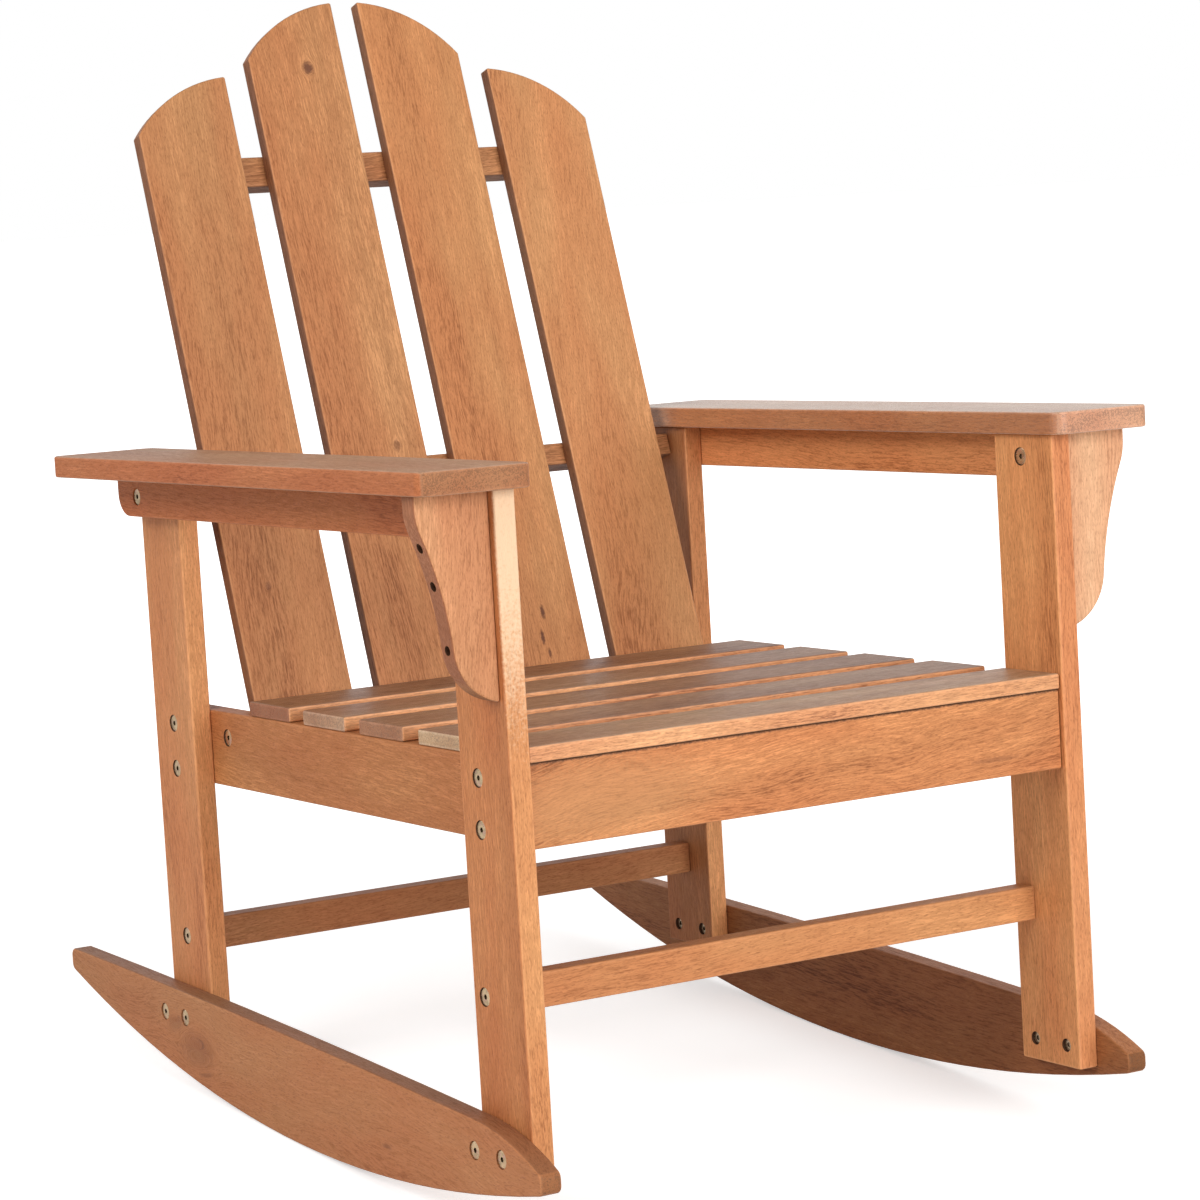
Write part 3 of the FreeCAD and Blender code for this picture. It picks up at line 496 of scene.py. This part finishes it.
def board_wood(node_name, lie, lean, face, edge=None, end=None, seed=0.0, pith=(0.03, 0.06),
               slope=0.05, waves=0.5, fade=0.0, contrast=0.9, knots=(), bores=None, polish=0.0,
               sheen=0.25):
    """Tones are red, green and blue. A knot is its place along and across the board, its size, its
    stretch, its strength and, for a stain, a painted shade or a painted highlight that bends no fibres,
    its colour."""
    measured = measure_board(node_name, lie, lean)
    directions = board_turn(lie, lean)
    material = bpy.data.materials.new(node_name + "_wood")
    material.use_nodes = True
    tree = Tree(material.node_tree)
    shader = material.node_tree.nodes["Principled BSDF"]
    room = tree.add("TexCoord").outputs["Object"]
    own = tree.add("Mapping", {"Vector": room, "Location": measured["middle"],
                               "Rotation": measured["turn"]}, vector_type="TEXTURE").outputs[0]
    pattern = own
    marks = []
    for along, across, size, stretch, strength, *own_color in knots:
        heart = join_group(tree, knot.tree, {"Vector": pattern},
                           {"Along": along, "Across": across, "Size": size, "Stretch": stretch,
                            "Bend": 0.0 if own_color else 1.0})
        pattern = heart["Vector"]
        mark_color = own_color[0] if own_color else KNOT_BROWN
        marks.append((tree.math("MULTIPLY", heart["Heart"], strength), mark_color))
    sawn = join_group(tree, grain.tree, {"Vector": pattern},
                      {"Seed": seed, "Pith Side": pith[0], "Pith Depth": pith[1], "Slope": slope,
                       "Waves": waves, "Fade": fade})
    board_outline = join_group(tree, outline_masks.tree, {"Vector": own},
                      {"Half Size": measured["half"], "Along": directions.col[0],
                       "Across": directions.col[1], "Seed": seed})
    masks = {label: sawn[label] for label in ("Rings", "Fibres", "Pores", "Clouds")}
    masks.update({label: board_outline[label] for label in ("Edge", "End", "Arris")})
    # Boards with bores get painted shade on the bore walls.
    if bores:
        masks["Bore"] = board_outline[bores + " Bore"]
    edge = edge or tuple(channel * EDGE_SHADE for channel in face)
    end = end or tuple(channel * END_SHADE for channel in face)
    oiled = join_group(tree, finish.tree, masks,
                       {"Face Tone": (*face, 1), "Edge Tone": (*edge, 1), "End Tone": (*end, 1),
                        "Contrast": contrast})
    color = oiled["Color"]
    for heart, mark_color in marks:
        color = tree.blend(heart, color, mark_color)
    bump = tree.add("Bump", {"Height": oiled["Height"], "Strength": 0.3, "Distance": 0.0004})
    tree.tree.links.new(color, shader.inputs["Base Color"])
    tree.tree.links.new(tree.math("SUBTRACT", oiled["Roughness"], polish), shader.inputs["Roughness"])
    tree.tree.links.new(bump.outputs["Normal"], shader.inputs["Normal"])
    shader.inputs["Specular IOR Level"].default_value = sheen
    board = nodes[node_name]
    board.data.materials.clear()
    board.data.materials.append(material)


# %% [markdown]
# ## The back
# Four tall boards with round tops fan out over three rails. They are the largest surfaces of the
# chair and all show a calm, golden brown face. Their edges are painted much darker as painted shade,
# which draws a thin line down the left side of each. The first board has a small knot and the second
# has two, and the third has three short streaks of dark resin near its foot.

# %% Boards of the back
back_lean = CHAIR_LEAN + BACK_LEAN
# A dark tone painted on the slats' edges as painted shade.
SHADED_SLAT_EDGE = (0.22, 0.092, 0.042)
board_wood("back_slat_1", "up_facing_front", back_lean, (0.44, 0.19, 0.078), SHADED_SLAT_EDGE, seed=1.3,
           pith=(-0.06, 0.08), slope=0.03, fade=2.0, knots=((-0.167, -0.013, 0.0035, 1.4, 0.5),))
board_wood("back_slat_2", "up_facing_front", back_lean, (0.43, 0.185, 0.076), SHADED_SLAT_EDGE, seed=2.7,
           pith=(-0.02, 0.09), slope=-0.03, fade=2.5, contrast=1.1,
           knots=((0.2855, 0.0108, 0.0075, 1.1, 0.85), (-0.0835, 0.0201, 0.005, 1.5, 0.5)))
board_wood("back_slat_3", "up_facing_front", back_lean, (0.49, 0.213, 0.086), SHADED_SLAT_EDGE, seed=4.1,
           pith=(-0.07, 0.06), slope=0.02, fade=2.5,
           knots=((-0.255, 0.0085, 0.0028, 3.2, 0.9), (-0.2785, 0.0032, 0.0026, 3.6, 0.9),
                  (-0.2943, 0.0069, 0.0022, 2.6, 0.8)))
board_wood("back_slat_4", "up_facing_front", back_lean, (0.51, 0.226, 0.094), SHADED_SLAT_EDGE, seed=5.9,
           pith=(0.02, 0.04), slope=0.08, waves=1.2, fade=1.0)
for rail, seed in (("upper", 6.3), ("middle", 7.7), ("lower", 8.9)):
    board_wood("back_rail_" + rail, "across_upright", back_lean, (0.4, 0.165, 0.068), (0.22, 0.1, 0.055),
               seed=seed, pith=(0.01, 0.03), contrast=1.6)
print("back boards done")

# %% [markdown]
# ## The seat
# Five slats run across the seat. Their faces are painted greyer and darker than the rest, as painted
# shade on the tops, darker on the slats behind the front one, and as a painted sheen in the grey. Their
# front edges keep the fresh orange of newly sawn wood. The front apron has a lively figure, because
# it was sawn close to the pith, and is golden at its left end. Where the front slat lies on it, a thin
# dark line is painted as the shade in the joint.

# %% Boards of the seat
# Seat faces painted greyer and darker: painted shade on the tops, darker for the slats behind the front
# one, and a painted grey sheen.
SEAT_TONES = ((0.37, 0.21, 0.12), (0.28, 0.148, 0.084), (0.24, 0.118, 0.06), (0.26, 0.132, 0.072),
              (0.24, 0.114, 0.058))
SEAT_ENDS = ((0.4, 0.2, 0.11), (0.62, 0.42, 0.26), (0.42, 0.19, 0.1), (0.55, 0.32, 0.2),
             (0.34, 0.125, 0.06))
for index, tone in enumerate(SEAT_TONES):
    board_wood("seat_slat_%d" % (index + 1), "across_flat", CHAIR_LEAN, tone, (0.6, 0.27, 0.12),
               SEAT_ENDS[index], seed=11.0 + 1.9 * index, pith=(0.02 * index - 0.04, 0.05), slope=0.02,
               contrast=1.3, polish=0.1, sheen=0.45)
# A thin dark line of painted shade in the joint under the front slat.
JOINT_SHADE = (0.05, 0.02, 0.01, 1)
GOLDEN = (0.47, 0.24, 0.1, 1)
board_wood("apron", "across_upright", CHAIR_LEAN, (0.51, 0.2, 0.076), seed=21.0, pith=(0.03, 0.02),
           slope=0.1, waves=1.2, contrast=1.2,
           knots=((-0.2, 0.0, 0.04, 3.5, 0.45, GOLDEN), (0.19, -0.018, 0.003, 12.0, 0.35),
                  (0.0, 0.034, 0.003, 900.0, 0.9, JOINT_SHADE)))
print("seat boards done")

# %% [markdown]
# ## The frame
# The legs, rails, armrests and runners are the same boards in pairs, left and right. The helper is
# called once for each, because the two sides of the real chair differ too. The inner faces of the
# right runner and the right rear leg lie under the seat and are painted almost chocolate brown as
# painted shade, and the front edge of the left leg gets a cream strip near its top as a painted
# highlight.

# %% Boards of the frame
LEG_EDGE = (0.63, 0.27, 0.11)
# A cream strip near the top of the left front leg's front edge is a painted highlight.
CREAM_HIGHLIGHT = (0.82, 0.6, 0.4, 1)
board_wood("leg_front_left", "up_facing_side", CHAIR_LEAN, (0.48, 0.178, 0.066), (0.58, 0.25, 0.1),
           bores="Face", seed=31.0, knots=((0.24, -0.041, 0.006, 30.0, 0.75, CREAM_HIGHLIGHT),))
board_wood("leg_front_right", "up_facing_side", CHAIR_LEAN, (0.64, 0.275, 0.11), (0.57, 0.225, 0.093),
           bores="Face", seed=32.3)
board_wood("leg_rear_left", "up_facing_side", CHAIR_LEAN, (0.54, 0.22, 0.09), LEG_EDGE,
           bores="Face", seed=33.9)
# The right rear leg is painted darker as painted shade on its inner face under the seat.
board_wood("leg_rear_right", "up_facing_side", CHAIR_LEAN, (0.38, 0.146, 0.057), LEG_EDGE,
           bores="Face", seed=35.1)
for side_name, seed in (("left", 36.7), ("right", 38.2)):
    board_wood("seat_rail_" + side_name, "deep_upright", CHAIR_LEAN, (0.41, 0.153, 0.054),
               bores="Face", seed=seed)
board_wood("rocker_left", "deep_upright", CHAIR_LEAN, (0.43, 0.175, 0.072), (0.27, 0.115, 0.054),
           seed=39.4, pith=(0.02, 0.03), slope=0.06, waves=1.4, contrast=0.65,
           knots=((0.165, -0.002, 0.02, 2.0, 0.28), (0.205, 0.012, 0.01, 2.4, 0.25),
                  (0.15, -0.012, 0.004, 5.0, 0.4), (-0.185, -0.028, 0.003, 3.5, 0.45)))
# The right runner is painted darker as painted shade on its inner face under the seat.
board_wood("rocker_right", "deep_upright", CHAIR_LEAN, (0.3, 0.114, 0.042), (0.36, 0.145, 0.06),
           seed=41.6, contrast=1.1)
board_wood("armrest_left", "deep_flat", CHAIR_LEAN, (0.38, 0.205, 0.125), (0.42, 0.138, 0.052),
           (0.4, 0.17, 0.08), seed=43.1)
board_wood("armrest_right", "deep_flat", CHAIR_LEAN, (0.5, 0.31, 0.215), (0.43, 0.178, 0.082),
           (0.6, 0.29, 0.165), seed=44.8, polish=0.22, sheen=0.7)
board_wood("arm_rail_left", "deep_upright", CHAIR_LEAN, (0.45, 0.14, 0.045), seed=46.2)
board_wood("arm_rail_right", "deep_upright", CHAIR_LEAN, (0.66, 0.275, 0.11), seed=47.7)
board_wood("arm_bracket_left", "up_facing_front", CHAIR_LEAN, (0.5, 0.225, 0.107),
           (0.3, 0.108, 0.05), bores="Edge", seed=49.3)
board_wood("arm_bracket_right", "up_facing_front", CHAIR_LEAN, (0.66, 0.36, 0.21),
           (0.5, 0.25, 0.14), bores="Edge", seed=50.9)
board_wood("stretcher_front", "across_upright", CHAIR_LEAN, (0.53, 0.222, 0.088), seed=52.5)
board_wood("stretcher_rear", "across_upright", CHAIR_LEAN, (0.41, 0.165, 0.066), seed=54.0)
print("frame boards done")

# %% [markdown]
# ## Plated steel
# The bolts, nuts and screws are steel with a yellow zinc coat: a pale gold that drifts towards
# grey and pink. A low noise mixes the tones, and a finer one roughens the shine. Surfaces that face
# straight out of a board get a darker tone, a painted reflection that leaves the flat of a head duller
# than its rounded rim. Where the rim meets the wood and on the walls of the socket lies painted shade.
# Both stand square to the board, so surfaces that do are painted nearly black.

# %% Hardware material
STEEL_CLOUDS, STEEL_FLUSH, STEEL_SPECKS = 190.0, 260.0, 1200.0
# Flats are darkened as a painted reflection, so the rounded rim looks brighter.
FLAT_REFLECTION_TINT = (0.74, 0.64, 0.58, 1)
# Nearly black: painted shade in the socket and where the rim meets the wood.
RIM_AND_SOCKET_SHADE = (0.06, 0.045, 0.03, 1)


def plated_steel(name, bright, dull, blush, rough):
    material = bpy.data.materials.new(name)
    material.use_nodes = True
    tree = Tree(material.node_tree)
    shader = material.node_tree.nodes["Principled BSDF"]
    room = tree.add("TexCoord").outputs["Object"]
    clouds = tree.noise(room, STEEL_CLOUDS, 2.0, 1.0)
    flush = tree.noise(room, STEEL_FLUSH, 2.0, 9.0)
    specks = tree.noise(room, STEEL_SPECKS, 2.0, 5.0)
    color = tree.blend(tree.ramp(clouds, 0.35, 0.65), bright, dull)
    color = tree.blend(tree.ramp(flush, 0.5, 0.68, 0.0, 0.7), color, blush)
    facing = tree.add("SeparateXYZ", (tree.add("NewGeometry").outputs["Normal"],)).outputs[0]
    # Painted reflection: flats are darker than the rim.
    flat = tree.ramp(tree.math("ABSOLUTE", facing), 0.9, 0.99)
    color = tree.blend(flat, color, tree.blend(1.0, color, FLAT_REFLECTION_TINT, "MULTIPLY"))
    # Painted shade on surfaces square to the board.
    steep = tree.ramp(tree.math("ABSOLUTE", facing), 0.05, 0.4, 1.0, 0.0)
    color = tree.blend(steep, color, RIM_AND_SOCKET_SHADE)
    tree.tree.links.new(color, shader.inputs["Base Color"])
    tree.tree.links.new(tree.ramp(specks, 0.2, 0.8, rough, rough + 0.2), shader.inputs["Roughness"])
    bump = tree.add("Bump", {"Height": specks, "Strength": 0.2, "Distance": 0.0001})
    tree.tree.links.new(bump.outputs["Normal"], shader.inputs["Normal"])
    shader.inputs["Metallic"].default_value = 1.0
    return material


bolt_finish = plated_steel("yellow_zinc", bright=(1.0, 0.87, 0.58, 1), dull=(0.7, 0.6, 0.4, 1),
                           blush=(0.9, 0.6, 0.56, 1), rough=0.2)
nut_finish = plated_steel("zinc_nut", bright=(1.0, 0.92, 0.7, 1), dull=(0.8, 0.72, 0.52, 1),
                          blush=(0.9, 0.66, 0.6, 1), rough=0.22)
# Dark screws: painted shade, for little light reaches them.
shaded_screw_plating = plated_steel("zinc_screw", bright=(0.3, 0.26, 0.2, 1), dull=(0.18, 0.16, 0.13, 1),
                            blush=(0.25, 0.18, 0.16, 1), rough=0.4)
print("three plated finishes")

# %% [markdown]
# ## Where the bolts are
# All bolts lie across the chair, along x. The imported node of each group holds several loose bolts
# in one mesh, so the loose parts are sorted out first by walking over their joined points. The end
# with the wide head tells which way a bolt points. The places are sorted, so that every run joins the
# bolts in the same order.

# %% Find the loose parts of a node
SAME_POINT = 1e-6
FLUSH_WITH_END = 0.0002


def loose_parts(node_name):
    """Lists the points of each loose part of a node's mesh."""
    mesh = bmesh.new()
    mesh.from_mesh(nodes[node_name].data)
    bmesh.ops.remove_doubles(mesh, verts=mesh.verts, dist=SAME_POINT)
    parts = []
    unseen = set(mesh.verts)
    while unseen:
        heap = [unseen.pop()]
        part = []
        while heap:
            vertex = heap.pop()
            part.append(vertex.co.copy())
            joined = {edge.other_vert(vertex) for edge in vertex.link_edges} & unseen
            unseen -= joined
            heap.extend(joined)
        parts.append(part)
    mesh.free()
    return parts


def bolt_places(node_name):
    """The middle of each head's outer face, which way the shank runs along x, and the length."""
    places = []
    for part in loose_parts(node_name):
        low, high = (pick(point.x for point in part) for pick in (min, max))
        y, z = (sum(pick(point[axis] for point in part) for pick in (min, max)) / 2 for axis in (1, 2))
        spread = {end: max(abs(point.y - y) for point in part if abs(point.x - end) < FLUSH_WITH_END)
                  for end in (low, high)}
        inward = 1 if spread[low] > spread[high] else -1
        places.append((Vector((low if inward > 0 else high, y, z)), inward, high - low))
    return sorted(places, key=lambda place: tuple(place[0]))


for node_name in ("seat_bolts", "rocker_bolts", "sleeve_nuts"):
    places = bolt_places(node_name)
    print(node_name, len(places), "of length",
          sorted({round(1000 * length, 1) for _, _, length in places}), "mm")

# %% [markdown]
# ## The bolts
# These are furniture bolts with a wide flat head, a rounded rim and a hexagon socket for a key. One is
# turned from a cylinder: the rim of the head is bevelled, the back is inset and extruded into the
# shank, and a six sided cutter sinks the socket. A socket pressed in this way has sharp walls, which
# a bevel of the whole piece would have spoiled, so only the rim is rounded. The finished bolt is
# copied to every place, and turned round where it enters from the other side.

# %% Helpers for modelling
SHARP = math.radians(35)


def choose_faces(mesh_object, wanted):
    """Selects only the faces for which wanted(face) is true, in edit mode."""
    work = bmesh.from_edit_mesh(mesh_object.data)
    for vertex in work.verts:
        vertex.select = False
    for edge in work.edges:
        edge.select = False
    for face in work.faces:
        face.select_set(wanted(face))
    work.select_flush_mode()
    bmesh.update_edit_mesh(mesh_object.data)


def sink_hexagon(head, across_flats, depth):
    """Cuts a hexagon socket into the face at x = 0 of a head that lies along +x."""
    deselect_all()
    bpy.ops.mesh.primitive_cylinder_add(vertices=6, radius=across_flats / math.sqrt(3), depth=2 * depth,
                                        rotation=(0, math.pi / 2, 0))
    cutter = bpy.context.object
    bpy.context.view_layer.objects.active = head
    cut = head.modifiers.new("socket", "BOOLEAN")
    cut.operation = "DIFFERENCE"
    cut.object = cutter
    cut.solver = "EXACT"
    bpy.ops.object.modifier_apply(modifier=cut.name)
    bpy.data.objects.remove(cutter)


def turned_head(name, radius, thickness, rounding):
    """A disc along +x whose outer rim, at x = 0, is rounded over."""
    deselect_all()
    bpy.ops.mesh.primitive_cylinder_add(vertices=48, radius=radius, depth=thickness,
                                        location=(thickness / 2, 0, 0), rotation=(0, math.pi / 2, 0))
    head = bpy.context.object
    head.name = name
    bpy.ops.object.transform_apply(location=True, rotation=True, scale=True)
    bpy.ops.object.mode_set(mode="EDIT")
    choose_faces(head, lambda face: face.normal.x < -0.9)
    bpy.ops.mesh.bevel(offset=rounding, segments=4, affect="EDGES")
    choose_faces(head, lambda face: face.normal.x > 0.9)
    return head


def finish_copies(master, places, node_name, material):
    """Puts a copy of the master at each place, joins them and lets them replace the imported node."""
    copies = []
    for spot, inward, _ in places:
        copy = master.copy()
        copy.data = master.data.copy()
        bpy.context.scene.collection.objects.link(copy)
        turn = Matrix.Rotation(0 if inward > 0 else math.pi, 4, "Z")
        copy.data.transform(Matrix.Translation(spot) @ turn)
        copies.append(copy)
    bpy.data.objects.remove(master)
    deselect_all()
    for copy in copies:
        copy.select_set(True)
    bpy.context.view_layer.objects.active = copies[0]
    bpy.ops.object.join()
    joined = bpy.context.object
    joined.name = "turned_" + node_name
    bpy.ops.object.shade_smooth_by_angle(angle=SHARP)
    joined.data.materials.clear()
    joined.data.materials.append(material)
    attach(joined, "root")
    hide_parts(node_name)
    return joined


# %% Turn the bolts
BOLT_HEAD = 0.0075
BOLT_SHANK = 0.003
HEAD_THICKNESS = 0.0022
HEAD_ROUNDING = 0.001
TIP_LENGTH, TIP_TAPER = 0.001, 0.7
KEY_SIZE, BOLT_SOCKET = 0.004, 0.0016
for node_name in ("seat_bolts", "rocker_bolts", "stretcher_bolts", "arm_bolts", "lower_back_bolts",
                  "middle_back_bolts"):
    places = bolt_places(node_name)
    length = places[0][2]
    bolt = turned_head("bolt", BOLT_HEAD, HEAD_THICKNESS, HEAD_ROUNDING)
    bpy.ops.mesh.inset(thickness=BOLT_HEAD - BOLT_SHANK)
    for step in (length - HEAD_THICKNESS - TIP_LENGTH, TIP_LENGTH):
        bpy.ops.mesh.extrude_region_move(TRANSFORM_OT_translate={"value": (step, 0, 0)})
    bpy.ops.transform.resize(value=(1, TIP_TAPER, TIP_TAPER), center_override=(length, 0, 0))
    bpy.ops.object.mode_set(mode="OBJECT")
    sink_hexagon(bolt, KEY_SIZE, BOLT_SOCKET)
    turned = finish_copies(bolt, places, node_name, bolt_finish)
    print(node_name, len(places), "bolts", round(1000 * length, 1), "mm long,",
          len(turned.data.polygons), "faces")

# %% [markdown]
# ## The sleeve nuts
# A bolt through two boards ends in a sleeve nut: a small head with a hexagon, on a tube with the
# thread inside. It is sunk from the inner face of the chair, deep enough to leave a dark ring round it.
# It is turned like the bolt, and its tube gets its hollow from one more inset and an extrusion back
# into the tube.

# %% Turn the sleeve nuts
NUT_HEAD = 0.0055
NUT_HEAD_THICKNESS = 0.0015
NUT_ROUNDING = 0.0008
NUT_SOCKET = 0.0012
SLEEVE_RADIUS = 0.00425
THREAD_GAP = 0.0002
HOLLOW_STOP = 0.0003
places = bolt_places("sleeve_nuts")
sleeve_length = places[0][2] - NUT_HEAD_THICKNESS
nut = turned_head("sleeve_nut", NUT_HEAD, NUT_HEAD_THICKNESS, NUT_ROUNDING)
bpy.ops.mesh.inset(thickness=NUT_HEAD - SLEEVE_RADIUS)
bpy.ops.mesh.extrude_region_move(TRANSFORM_OT_translate={"value": (sleeve_length, 0, 0)})
bpy.ops.mesh.inset(thickness=SLEEVE_RADIUS - BOLT_SHANK - THREAD_GAP)
bpy.ops.mesh.extrude_region_move(TRANSFORM_OT_translate={"value": (HOLLOW_STOP - sleeve_length, 0, 0)})
bpy.ops.object.mode_set(mode="OBJECT")
sink_hexagon(nut, KEY_SIZE, NUT_SOCKET)
turned = finish_copies(nut, places, "sleeve_nuts", nut_finish)
print("sleeve_nuts", len(places), "nuts,", len(turned.data.polygons), "faces")

# %% [markdown]
# ## The hidden screws
# The screws of the back and the brackets sit deep in their bores, and the barrel nuts are inside the
# rails. Their imported shapes are right as they are. The screws get a darker colour as painted shade,
# because little light reaches them, and the barrel nuts get the finish of the sleeve nuts.

# %% Finish the screws
for node_name, node in nodes.items():
    if "screws" in node_name or node_name == "barrel_nuts":
        node.data.materials.clear()
        node.data.materials.append(nut_finish if node_name == "barrel_nuts" else shaded_screw_plating)
        print(node_name, "finished")
